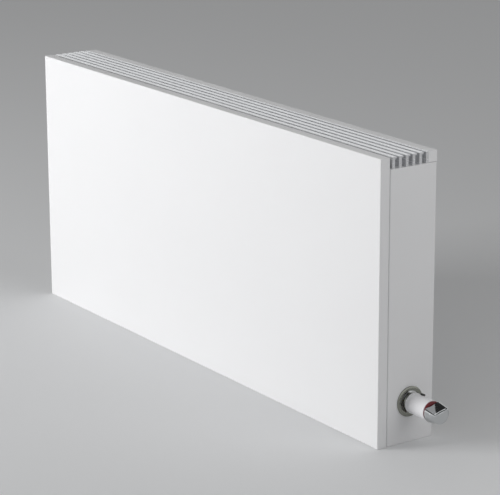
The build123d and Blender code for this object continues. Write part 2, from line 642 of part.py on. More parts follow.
def red_ring():
    """Ring between barrel and grip, with a spigot in the grip: the flat lays its upper part bare."""
    ring = rod_x(RED_RING_START, GRIP_START, RED_RING_RADIUS)
    ring += rod_x(GRIP_START, SPIGOT_END, SPIGOT_RADIUS)
    return ring - rod_x(RED_RING_START - 1, SPIGOT_END + 1, SPIGOT_BORE)


def rosette():
    """Cover ring round the valve hole."""
    ring = rod_x(SIDE_OUTSIDE, SIDE_OUTSIDE + ROSETTE_THICKNESS, ROSETTE_RADIUS)
    ring = fillet(ring.edges().group_by(Axis.X)[-1], ROSETTE_THICKNESS / 2)
    return ring - rod_x(SIDE_OUTSIDE - 1, SIDE_OUTSIDE + ROSETTE_THICKNESS + 1, ROSETTE_BORE)


def lockshield_spindle():
    """Screw that the cone travels on, with a flat end for a key."""
    return rod_x(LOCKSHIELD_SPINDLE_START, LOCKSHIELD_SPINDLE_END, LOCKSHIELD_SPINDLE_RADIUS)


def return_cone():
    """Disc that closes on the lockshield valve's seat."""
    disc = rod_x(CONE_FACE, CONE_FACE + CONE_THICKNESS, PLUG_RADIUS)
    return disc - rod_x(SEAT_X, BODY_END, LOCKSHIELD_SPINDLE_BORE)


def lockshield_cap():
    """Cap over the lockshield spindle."""
    cap = rod_x(BODY_END, LOCKSHIELD_CAP_END, LOCKSHIELD_CAP_RADIUS)
    cap = fillet(cap.edges().group_by(Axis.X)[-1], SIDE_BEND)
    return cap - rod_x(BODY_END - 1, LOCKSHIELD_CAP_END - SEAT_THICKNESS, CHAMBER_RADIUS)


def casing_nodes():
    """Panels, rails, braces and the screws that join them."""
    screws = screws_at_back() + screws_at_front()
    valve_hole = rod_x(SIDE_INSIDE_EDGE, SIDE_OUTSIDE + 1, VALVE_HOLE_RADIUS)
    side = side_panel()
    pieces = {
        "front_panel": front_panel(),
        "side_panel_right": side - valve_hole - screws,
        "side_panel_left": mirrored(side) - screws,
        "rear_top_rail": rear_top_rail() - screws,
        "rear_cap_right": rear_cap(),
        "rear_cap_left": mirrored(rear_cap()),
        "rear_bottom_rail": rear_bottom_rail() - screws,
        "side_hanger_right": side_hanger() - screws,
        "side_hanger_left": mirrored(side_hanger()) - screws,
        "panel_stiffener_right": panel_stiffener(),
        "panel_stiffener_left": mirrored(panel_stiffener()),
        "spreader_right": spreader() - screws,
        "spreader_left": mirrored(spreader()) - screws,
        "casing_screws": group(screws),
    }
    return pieces


def grille_nodes():
    """Six bars on tie rods, with spacers between them."""
    rods = tie_rods()
    pieces = {"grille_tie_rods": group(rods), "grille_spacers": group(spacers())}
    for i in range(BAR_COUNT):
        front = FIRST_BAR_FRONT + i * BAR_PITCH
        bar = rear_grille_bar(front) if i == BAR_COUNT - 1 else grille_bar(front)
        pieces[f"grille_bar_{i + 1}"] = bar - rods
    return pieces


def bracket_nodes():
    """Wall brackets and the pads on their arms."""
    return {
        "wall_bracket_right": wall_bracket(),
        "wall_bracket_left": mirrored(wall_bracket()),
        "bracket_pads": group([bracket_pad(), mirrored(bracket_pad())]),
    }


def exchanger_nodes():
    """Tubes, fins, headers, plug and air vent."""
    pieces = {name: tube(y, z) for name, y, z in tube_places()}
    pieces["fin_pack"] = fin_pack()
    pieces["header_right"] = header(PLUG_THREAD_RADIUS)
    pieces["header_left"] = mirrored(header(VENT_THREAD_RADIUS))
    pieces["header_plug"] = header_plug()
    pieces["air_vent_body"] = air_vent_body()
    pieces["bleed_screw"] = bleed_screw()
    return pieces


def valve_nodes():
    """Unions, the thermostatic valve at the right and the lockshield valve at the left."""
    spindle_bore = rod_x(SEAT_X, GRIP_START, LOCKSHIELD_SPINDLE_BORE)
    return {
        "union_tail_right": union_tail(),
        "union_tail_left": mirrored(union_tail()),
        "union_seals": group([union_seal(), mirrored(union_seal())]),
        "union_nut_right": union_nut(),
        "union_nut_left": mirrored(union_nut()),
        "valve_body": valve_shell(GRIP_START),
        "valve_bonnet": valve_bonnet(),
        "valve_spindle": rod_x(PLUG_FACE + 1, SPINDLE_END, SPINDLE_RADIUS),
        "valve_plug": valve_plug(),
        "valve_spring": valve_spring(),
        "return_valve_body": mirrored(valve_shell(LOCKSHIELD_WALL_START) - spindle_bore),
        "lockshield_spindle": mirrored(lockshield_spindle()),
        "return_cone": mirrored(return_cone()),
        "lockshield_cap": mirrored(lockshield_cap()),
    }


def head_nodes():
    """The thermostatic head and the rosette behind it."""
    return {
        "rosette": rosette(),
        "head_nut": head_nut(),
        "head_sleeve": head_sleeve(),
        "setting_pointer": setting_pointer(),
        "push_rod": rod_x(SPINDLE_END, CAPSULE_START, PUSH_ROD_RADIUS),
        "sensor_capsule": rod_x(CAPSULE_START, CAPSULE_END, CAPSULE_RADIUS),
        "grip_cap": grip_cap(),
        "red_ring": red_ring(),
    }


nodes = casing_nodes() | grille_nodes() | bracket_nodes() | exchanger_nodes() | valve_nodes() | head_nodes()
for name, shape in nodes.items():
    export_step(shape, f"parts/{name}.step")
print(len(nodes), "nodes")
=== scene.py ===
"""Finish of the wall convector: coated casing, anodised grille, finned exchanger and valve head."""

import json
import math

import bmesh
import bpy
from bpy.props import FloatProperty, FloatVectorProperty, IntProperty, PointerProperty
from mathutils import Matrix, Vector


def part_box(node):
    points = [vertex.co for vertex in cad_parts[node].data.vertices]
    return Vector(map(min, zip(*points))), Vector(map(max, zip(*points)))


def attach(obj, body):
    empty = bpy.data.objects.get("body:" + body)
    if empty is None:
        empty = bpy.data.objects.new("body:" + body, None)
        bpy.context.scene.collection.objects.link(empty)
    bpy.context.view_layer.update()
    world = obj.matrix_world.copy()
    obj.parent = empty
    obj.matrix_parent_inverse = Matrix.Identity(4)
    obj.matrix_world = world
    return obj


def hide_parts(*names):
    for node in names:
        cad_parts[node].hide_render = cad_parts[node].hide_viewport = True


bl_info = {
    "name": "Wall convector",
    "version": (1, 0, 0),
    "blender": (4, 5, 0),
    "location": "View3D > Sidebar > Convector",
    "description": "Dresses the convector's frame with its finishes and fine pieces",
    "category": "Object",
}

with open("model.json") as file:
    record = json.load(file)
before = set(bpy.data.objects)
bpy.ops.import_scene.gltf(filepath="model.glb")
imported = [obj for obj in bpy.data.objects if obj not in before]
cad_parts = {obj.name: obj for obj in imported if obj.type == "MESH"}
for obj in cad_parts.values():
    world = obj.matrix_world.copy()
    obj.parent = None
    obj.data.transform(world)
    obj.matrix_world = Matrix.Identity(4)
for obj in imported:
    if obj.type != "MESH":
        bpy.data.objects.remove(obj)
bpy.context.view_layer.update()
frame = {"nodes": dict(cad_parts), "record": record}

MM = 0.001
SHARP_ANGLE = math.radians(32)  # two faces that meet at more than this keep a crease
CORNER_ANGLE = math.radians(40)  # an edge sharper than this is rounded
FLAT_ANGLE = math.radians(0.5)  # faces that differ by less are one flat face
POINT_GAP = 0.002 * MM  # points of a made shape that lie closer are one
NODE_POINT_GAP = 0.004 * MM  # the same for the triangles of a frame's node
NOISE_MIDDLE = (0.3, 0.7)  # where most of a noise's values lie
LINE_STRETCH = 60  # how many times longer than wide a drawn line is

FLOOR_RADIUS = 14
KEY_PLACE, KEY_TARGET, KEY_SIZE = (-1.7, -3.6, 0.9), (-0.1, -0.1, 0.25), 2.0
SIDE_PLACE, SIDE_TARGET, SIDE_SIZE = (1.6, 0.2, 0.85), (0.55, -0.05, 0.35), 0.9

# height of a direction, 0 to 1, and how bright the background is there: pale wall, dark gap,
# dark ceiling and a bright panel overhead, because chrome looks like chrome only beside all four
SKY_STOPS = ((0.45, 1.0), (0.57, 0.05), (0.9, 0.03), (0.955, 1.0))
SKY_TOP = 0.9

CAMERA_PLACE = Vector((3.24682, -2.22975, 1.31969))
CAMERA_RIGHT = Vector((0.5676, 0.8233, -0.00406))
CAMERA_UP = Vector((-0.22171, 0.1576, 0.96229))
CAMERA_LENS = 156.88
CAMERA_FAR = 100


def linear(hex_text):
    """Linear RGB of an sRGB hex colour."""
    channels = [int(hex_text[i:i + 2], 16) / 255 for i in (1, 3, 5)]
    return tuple(c / 12.92 if c <= 0.04045 else ((c + 0.055) / 1.055) ** 2.4 for c in channels)


def tone(hex_text, name, description):
    """A colour property with its default."""
    return FloatVectorProperty(
        name=name,
        description=description,
        subtype="COLOR",
        size=3,
        min=0,
        max=1,
        default=linear(hex_text),
    )


def length(millimetres, name, description):
    """A length property with its default in millimetres."""
    return FloatProperty(
        name=name, description=description, unit="LENGTH", min=0, default=millimetres * MM
    )


def power(watts, name, description):
    """A power property with its default in watts."""
    return FloatProperty(name=name, description=description, unit="POWER", min=0, default=watts)


class CasingSettings(bpy.types.PropertyGroup):
    coat: tone("#F1F1F2", "Coat", "Colour of the powder coat on the casing")
    peel: length(2.4, "Orange peel", "Spacing of the waves in the coat")
    rounding: length(0.3, "Edge rounding", "Rounding that the coat leaves on cut sheet edges")
    spangle: length(9.0, "Spangle", "Size of the zinc crystals on the hidden sheet")


class GrilleSettings(bpy.types.PropertyGroup):
    metal: tone("#F0F1F3", "Aluminium", "Colour of the anodised bars")
    streak: length(1.2, "Streak width", "Width of the extrusion lines across the bars")
    rounding: length(0.35, "Edge rounding", "Rounding of the bars' cut ends")


class ExchangerSettings(bpy.types.PropertyGroup):
    fin_pitch: length(9.0, "Fin pitch", "Distance from one fin to the next")
    fin_thickness: length(0.6, "Fin thickness", "Thickness of one fin")
    fin_metal: tone("#E2E4E6", "Fins", "Colour of the fin sheet")
    copper: tone("#C98862", "Copper", "Colour of the tubes")
    brass: tone("#C2A35F", "Brass", "Colour of the headers")
    nickel: tone("#BDB9AE", "Nickel plate", "Colour of the plated fittings")


class HeadSettings(bpy.types.PropertyGroup):
    steps: IntProperty(
        name="Steps", description="Facets round the turned pieces", min=24, max=256, default=112
    )
    barrel: tone("#EDEDEF", "Barrel", "Colour of the moulded barrel")
    chrome: tone("#C9CBCC", "Chrome", "Colour of the chromed grip and nut")
    rosette: tone("#8E8F87", "Rosette", "Colour of the satin rosette")
    window: tone("#6E0B16", "Red ring", "Colour of the ring at the root of the flat")
    flat_root: length(13.0, "Flat at the ring", "Height of the flat above the axis at the ring")
    flat_tip: length(7.0, "Flat at the tip", "Height of the flat above the axis at the tip")
    taper: length(3.4, "Taper", "How much smaller the grip's radius is at its tip")
    turn: FloatProperty(
        name="Turn", description="Setting of the grip", subtype="ANGLE", default=math.radians(14)
    )
    grip_rounding: length(3.0, "Grip rounding", "Rounding of the grip's tip")
    softness: FloatProperty(
        name="Softness", description="A lower value rounds the flat's edges more", min=4, default=12
    )


class StageSettings(bpy.types.PropertyGroup):
    floor: tone("#D6D7D8", "Floor", "Colour that the floor throws back on the object")
    floor_seen: tone("#ECEDEE", "Floor as seen", "Colour of the floor to the camera")
    sky: tone("#F3F4F5", "Background", "Colour behind the floor's edge")
    key_power: power(126, "Key light", "Power of the front light")
    side_power: power(3.8, "Side light", "Power of the side light")
    ambient: FloatProperty(
        name="Ambient", description="Strength of the even light", min=0, default=0.3
    )


SETTINGS = {
    "convector_casing": CasingSettings,
    "convector_grille": GrilleSettings,
    "convector_exchanger": ExchangerSettings,
    "convector_head": HeadSettings,
    "convector_stage": StageSettings,
}


def add_node(tree, kind, values=None, links=None):
    """Adds a node, sets its inputs or options, and links its inputs to (node, output) pairs."""
    node = tree.nodes.new(kind)
    for key, value in (values or {}).items():
        if isinstance(key, int) or key in node.inputs:
            node.inputs[key].default_value = value
        else:
            setattr(node, key, value)
    for key, (source, output) in (links or {}).items():
        tree.links.new(source.outputs[output], node.inputs[key])
    return node


def opaque(colour):
    """A colour with full alpha."""
    return (*colour, 1.0)


def shade(colour, factor):
    """A colour made darker or lighter."""
    return tuple(min(1.0, c * factor) for c in colour)


def new_material(name, roughness, metallic=0.0):
    """Empty material: its tree, its main shader and its object coordinates."""
    material = bpy.data.materials.new(name)
    material.use_nodes = True
    tree = material.node_tree
    shader = tree.nodes["Principled BSDF"]
    shader.inputs["Roughness"].default_value = roughness
    shader.inputs["Metallic"].default_value = metallic
    coordinates = add_node(tree, "ShaderNodeTexCoord")
    return material, tree, shader, coordinates


def mapped(tree, coordinates, scale):
    """Object coordinates with a scale for each axis."""
    links = {"Vector": (coordinates, "Object")}
    return add_node(tree, "ShaderNodeMapping", {"Scale": scale}, links)


def noise(tree, coordinates, size, stretch=(1, 1, 1), detail=3.0):
    """Noise whose grain has a real size in metres, drawn out along an axis by a stretch above 1."""
    scale = tuple(1 / (size * s) for s in stretch)
    placed = mapped(tree, coordinates, scale)
    return add_node(
        tree, "ShaderNodeTexNoise", {"Scale": 1.0, "Detail": detail}, {"Vector": (placed, "Vector")}
    )


def spread(tree, source, output, low, high):
    """Maps a noise's usual values onto low to high."""
    floor, ceiling = NOISE_MIDDLE
    return add_node(
        tree,
        "ShaderNodeMapRange",
        {"From Min": floor, "From Max": ceiling, "To Min": low, "To Max": high},
        {"Value": (source, output)},
    )


def blend_colours(tree, shader, source, output, first, second):
    """Base colour that runs between two colours with a pattern."""
    mix = add_node(
        tree,
        "ShaderNodeMix",
        {"data_type": "RGBA", 6: opaque(first), 7: opaque(second)},
        {0: (source, output)},
    )
    tree.links.new(mix.outputs[2], shader.inputs["Base Color"])


def relief(tree, shader, source, output, depth, strength=1.0):
    """Bump of a real depth in metres."""
    values = {"Strength": strength, "Distance": depth}
    bump = add_node(tree, "ShaderNodeBump", values, {"Height": (source, output)})
    tree.links.new(bump.outputs["Normal"], shader.inputs["Normal"])


def seen_rays(tree):
    """1 for what the camera sees, straight, mirrored or through glass, and 0 for other light."""
    path = add_node(tree, "ShaderNodeLightPath")
    links = {0: (path, "Is Camera Ray"), 1: (path, "Is Glossy Ray")}
    direct = add_node(tree, "ShaderNodeMath", {"operation": "MAXIMUM"}, links)
    links = {0: (direct, "Value"), 1: (path, "Is Transmission Ray")}
    return add_node(tree, "ShaderNodeMath", {"operation": "MAXIMUM"}, links)


def powder_coat(colour, peel):
    """Polyester powder, baked on steel: satin, with a faint orange peel and slow waves of gloss."""
    material, tree, shader, coordinates = new_material("satin_powder_coat", 0.42)
    waves = noise(tree, coordinates, peel, detail=2.0)
    slow = noise(tree, coordinates, 180 * MM, detail=1.0)
    blend_colours(tree, shader, slow, "Fac", shade(colour, 0.985), colour)
    gloss = spread(tree, slow, "Fac", 0.38, 0.46)
    tree.links.new(gloss.outputs["Result"], shader.inputs["Roughness"])
    relief(tree, shader, waves, "Fac", 0.03 * MM, 0.5)
    return material


def galvanised(spangle):
    """Hot-dipped zinc on sheet steel: flat crystals, each with its own grey and gloss."""
    material, tree, shader, coordinates = new_material("galvanised_sheet", 0.42, 1.0)
    scale = (1 / spangle,) * 3
    placed = mapped(tree, coordinates, scale)
    links = {"Vector": (placed, "Vector")}
    crystals = add_node(tree, "ShaderNodeTexVoronoi", {"Scale": 1.0}, links)
    grey = add_node(tree, "ShaderNodeSeparateColor", links={"Color": (crystals, "Color")})
    blend_colours(tree, shader, grey, "Red", linear("#9FA4A8"), linear("#C9CDD0"))
    gloss = spread(tree, grey, "Green", 0.34, 0.52)
    tree.links.new(gloss.outputs["Result"], shader.inputs["Roughness"])
    return material


def drawn_metal(name, colour, line, axis, roughness, contrast=0.95, metallic=1.0):
    """Extruded, rolled or drawn metal: fine lines along the direction in which it was pulled."""
    material, tree, shader, coordinates = new_material(name, roughness, metallic)
    stretch = tuple(LINE_STRETCH if letter == axis else 1 for letter in "XYZ")
    lines = noise(tree, coordinates, line, stretch, detail=4.0)
    blend_colours(tree, shader, lines, "Fac", shade(colour, contrast), colour)
    gloss = spread(tree, lines, "Fac", roughness - 0.04, roughness + 0.04)
    tree.links.new(gloss.outputs["Result"], shader.inputs["Roughness"])
    relief(tree, shader, lines, "Fac", 0.01 * MM, 0.2)
    return material


def cast_metal(name, colour, grain, roughness):
    """Cast or forged and blasted metal: an even fine grain with darker hollows."""
    material, tree, shader, coordinates = new_material(name, roughness, 1.0)
    grains = noise(tree, coordinates, grain, detail=4.0)
    stain = noise(tree, coordinates, 22 * MM, detail=2.0)
    blend_colours(tree, shader, stain, "Fac", shade(colour, 0.86), colour)
    gloss = spread(tree, grains, "Fac", roughness - 0.08, roughness + 0.08)
    tree.links.new(gloss.outputs["Result"], shader.inputs["Roughness"])
    relief(tree, shader, grains, "Fac", 0.06 * MM, 0.5)
    return material


def plated_metal(name, colour, roughness, haze):
    """Polished metal under a plated skin: a mirror with slow changes of haze and hairline wear."""
    material, tree, shader, coordinates = new_material(name, roughness, 1.0)
    cloud = noise(tree, coordinates, 14 * MM, detail=2.0)
    hairs = noise(tree, coordinates, 0.5 * MM, (1, 8, 1), detail=2.0)
    blend_colours(tree, shader, cloud, "Fac", shade(colour, 0.97), colour)
    gloss = spread(tree, hairs, "Fac", roughness, roughness + haze)
    tree.links.new(gloss.outputs["Result"], shader.inputs["Roughness"])
    return material


def moulded_plastic(name, colour, roughness, grain, depth):
    """Injection-moulded plastic: the fine grain of the tool and a slight drift of colour."""
    material, tree, shader, coordinates = new_material(name, roughness)
    grains = noise(tree, coordinates, grain, detail=3.0)
    drift = noise(tree, coordinates, 30 * MM, detail=1.0)
    blend_colours(tree, shader, drift, "Fac", shade(colour, 0.96), colour)
    gloss = spread(tree, grains, "Fac", max(0.02, roughness - 0.05), roughness + 0.05)
    tree.links.new(gloss.outputs["Result"], shader.inputs["Roughness"])
    relief(tree, shader, grains, "Fac", depth, 0.4)
    return material


def link_piece(name, mesh, body, slot, material):
    """Puts a finished mesh in the scene as a piece that rides on a body."""
    for polygon in mesh.polygons:
        polygon.use_smooth = True
    mesh.set_sharp_from_angle(angle=SHARP_ANGLE)
    mesh.materials.clear()
    mesh.materials.append(material)
    piece = bpy.data.objects.new(name, mesh)
    bpy.context.scene.collection.objects.link(piece)
    even = piece.modifiers.new("even_normals", "WEIGHTED_NORMAL")
    even.keep_sharp = True
    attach(piece, body)
    return piece


def body_of_node(node):
    """The body that a node belongs to, and its material slot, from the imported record."""
    record = frame["record"]
    bodies = record["behaviour"]["bodies"]
    body = next(name for name, members in bodies.items() if node in members)
    slot = next(s["material_slot"] for s in record["subparts"] if s["node"] == node)
    return body, slot


def finish_bmesh(mesh_name, bm):
    """Merges doubles, turns the faces outwards and makes the mesh."""
    bmesh.ops.remove_doubles(bm, verts=bm.verts, dist=POINT_GAP)
    bmesh.ops.recalc_face_normals(bm, faces=bm.faces)
    mesh = bpy.data.meshes.new(mesh_name)
    bm.to_mesh(mesh)
    bm.free()
    return mesh


def round_edges(bm, edges, width, segments=2):
    """Rounds some edges."""
    bmesh.ops.bevel(
        bm,
        geom=edges,
        offset=width,
        offset_type="OFFSET",
        affect="EDGES",
        segments=segments,
        profile=0.5,
        material=-1,
        clamp_overlap=True,
    )


def sharp_edges(bm):
    """Edges where two faces meet at a corner, not within a curved face."""
    return [e for e in bm.edges if len(e.link_faces) == 2 and e.calc_face_angle(0) > CORNER_ANGLE]


def dress_node(node, material, rounding, segments=2):
    """Replaces a node by a merged copy of its mesh with rounded corners."""
    bm = bmesh.new()
    bm.from_mesh(frame["nodes"][node].data)
    bmesh.ops.remove_doubles(bm, verts=bm.verts, dist=NODE_POINT_GAP)
    bmesh.ops.dissolve_limit(bm, angle_limit=FLAT_ANGLE, verts=bm.verts, edges=bm.edges)
    if rounding:
        round_edges(bm, sharp_edges(bm), rounding, segments)
    body, slot = body_of_node(node)
    mesh = bpy.data.meshes.new(node + "_dressed")
    bm.to_mesh(mesh)
    bm.free()
    piece = link_piece(node + "_dressed", mesh, body, slot, material)
    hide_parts(node)
    return piece


def dress_nodes(nodes, material, rounding, segments=2):
    """Dresses several nodes in one material."""
    for node in nodes:
        dress_node(node, material, rounding, segments)


def box_of(node):
    """A node's lowest and highest corner as vectors."""
    low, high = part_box(node)
    return Vector(low), Vector(high)


def valve_axis():
    """Y and Z of the valve axis: the middle of the barrel."""
    low, high = box_of("head_sleeve")
    return (low.y + high.y) / 2, (low.z + high.z) / 2


def turned(outline, steps):
    """A bmesh turned about the valve axis from an outline of (x, radius) points in metres."""
    y, z = valve_axis()
    bm = bmesh.new()
    points = [bm.verts.new((x, y, z + radius)) for x, radius in outline]
    edges = [bm.edges.new((points[i - 1], points[i])) for i in range(len(points))]
    if outline[0][1] == 0 and outline[-1][1] == 0:
        bm.edges.remove(edges[0])
        edges = edges[1:]
    bmesh.ops.spin(
        bm,
        geom=points + edges,
        cent=(0, y, z),
        axis=(1, 0, 0),
        angle=2 * math.pi,
        steps=steps,
        use_merge=True,
    )
    bmesh.ops.remove_doubles(bm, verts=bm.verts, dist=POINT_GAP)
    return bm


def turned_piece(name, node, outline, material, rounding, segments=3):
    """A turned piece that stands for a node, with its rims rounded."""
    bm = turned(outline, bpy.context.scene.convector_head.steps)
    round_edges(bm, sharp_edges(bm), rounding, segments)
    body, slot = body_of_node(node)
    piece = link_piece(name, finish_bmesh(name, bm), body, slot, material)
    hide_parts(node)
    return piece


class CONVECTOR_OT_casing(bpy.types.Operator):
    """Coats the casing and galvanises its hidden sheet"""

    bl_idname = "convector.casing"
    bl_label = "Casing"

    def execute(self, context):
        casing = context.scene.convector_casing
        coat = powder_coat(casing.coat, casing.peel)
        zinc = galvanised(casing.spangle)
        plated = plated_metal("zinc_plated_screw", linear("#C3C8CC"), 0.2, 0.15)
        panels = ["front_panel", "side_panel_right", "side_panel_left"]
        rails = ["rear_top_rail", "rear_bottom_rail", "rear_cap_right", "rear_cap_left"]
        dress_nodes(panels + rails, coat, casing.rounding)
        for kind in ("side_hanger", "panel_stiffener", "spreader", "wall_bracket"):
            dress_nodes([kind + "_right", kind + "_left"], zinc, casing.rounding)
        dress_nodes(["casing_screws"], plated, 0)
        return {"FINISHED"}


class CONVECTOR_OT_grille(bpy.types.Operator):
    """Finishes the grille's bars, tie rods and spacers"""

    bl_idname = "convector.grille"
    bl_label = "Grille"

    def execute(self, context):
        grille = context.scene.convector_grille
        anodised = drawn_metal(
            "anodised_extrusion",
            grille.metal,
            grille.streak,
            "X",
            roughness=0.25,
            contrast=0.97,
            metallic=0.5,
        )
        plated = plated_metal("zinc_plated_rod", linear("#B9BEC2"), 0.2, 0.15)
        bars = [name for name in frame["nodes"] if name.startswith("grille_bar")]
        dress_nodes(sorted(bars), anodised, grille.rounding)
        dress_nodes(["grille_spacers"], anodised, 0)
        dress_nodes(["grille_tie_rods"], plated, 0)
        return {"FINISHED"}


class CONVECTOR_OT_fins(bpy.types.Operator):
    """Makes the pack of thin fins with their collars"""

    bl_idname = "convector.fins"
    bl_label = "Fins"

    def execute(self, context):
        exchanger = context.scene.convector_exchanger
        pitch = exchanger.fin_pitch
        low, high = box_of("fin_pack")
        middle = (low + high) / 2
        count = round((high.x - low.x - exchanger.fin_thickness) / pitch) + 1
        first = middle.x - (count - 1) / 2 * pitch
        size = (exchanger.fin_thickness, high.y - low.y, high.z - low.z)
        tubes = [box_of(name) for name in sorted(frame["nodes"]) if name.startswith("tube_")]
        bm = bmesh.new()
        for i in range(count):
            centre = (first + i * pitch, middle.y, middle.z)
            place = Matrix.Translation(centre) @ Matrix.Diagonal((*size, 1))
            bmesh.ops.create_cube(bm, size=1, matrix=place)
        turn = Matrix.Rotation(math.pi / 2, 4, "Y")
        collar_wall, collar_taper = 0.8 * MM, 0.5 * MM
        for tube_low, tube_high in tubes:
            # a collar reaches from its fin half-way to the next one, and narrows a little
            radius = (tube_high.z - tube_low.z) / 2 + collar_wall
            for i in range(count - 1):
                x = first + (i + 0.25) * pitch
                centre = (x, (tube_low.y + tube_high.y) / 2, (tube_low.z + tube_high.z) / 2)
                bmesh.ops.create_cone(
                    bm,
                    cap_ends=True,
                    segments=14,
                    radius1=radius,
                    radius2=radius - collar_taper,
                    depth=pitch / 2,
                    matrix=Matrix.Translation(centre) @ turn,
                )
        sheet = drawn_metal(
            "rolled_fin_sheet", exchanger.fin_metal, 1.5 * MM, "Z", roughness=0.36, metallic=0.3
        )
        mesh = bpy.data.meshes.new("fin_sheets")
        bm.to_mesh(mesh)
        bm.free()
        piece = link_piece("fin_sheets", mesh, *body_of_node("fin_pack"), sheet)
        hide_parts("fin_pack")
        return {"FINISHED"}


class CONVECTOR_OT_exchanger(bpy.types.Operator):
    """Finishes tubes, headers, valves and fittings"""

    bl_idname = "convector.exchanger"
    bl_label = "Exchanger and valves"

    def execute(self, context):
        exchanger = context.scene.convector_exchanger
        copper = drawn_metal("drawn_copper", exchanger.copper, 2.5 * MM, "X", 0.3, 0.8)
        brass = cast_metal("cast_brass", exchanger.brass, 1.6 * MM, 0.4)
        forged = cast_metal("nickelled_forging", exchanger.nickel, 1.2 * MM, 0.32)
        turned_metal = plated_metal("nickelled_turning", exchanger.nickel, 0.16, 0.14)
        rubber = moulded_plastic(
            "black_rubber", linear("#1B1B1C"), 0.75, grain=0.8 * MM, depth=0.05 * MM
        )
        steel = plated_metal("spring_steel", linear("#8F9296"), 0.25, 0.1)
        white = moulded_plastic(
            "white_cap_plastic", linear("#E2E2E3"), 0.38, grain=0.6 * MM, depth=0.02 * MM
        )
        capsule = drawn_metal("drawn_capsule", linear("#C7C9CC"), 1.0 * MM, "X", 0.3)
        tubes = sorted(name for name in frame["nodes"] if name.startswith("tube_"))
        dress_nodes(tubes, copper, 0)
        dress_nodes(["header_right", "header_left"], brass, 0.8 * MM)
        dress_nodes(["valve_body", "return_valve_body"], forged, 0.6 * MM)
        fittings = ["header_plug", "air_vent_body"]
        nuts = ["union_nut_right", "union_nut_left", "valve_bonnet"]
        dress_nodes(fittings + nuts, turned_metal, 0.5 * MM)
        tails = ["union_tail_right", "union_tail_left"]
        screws = ["bleed_screw", "lockshield_spindle", "valve_spindle"]
        dress_nodes(tails + screws, turned_metal, 0.2 * MM)
        dress_nodes(["bracket_pads", "union_seals", "valve_plug", "return_cone"], rubber, 0.3 * MM)
        dress_nodes(["valve_spring", "push_rod"], steel, 0)
        dress_nodes(["lockshield_cap"], white, 0.4 * MM)
        dress_nodes(["sensor_capsule"], capsule, 0.8 * MM)
        return {"FINISHED"}


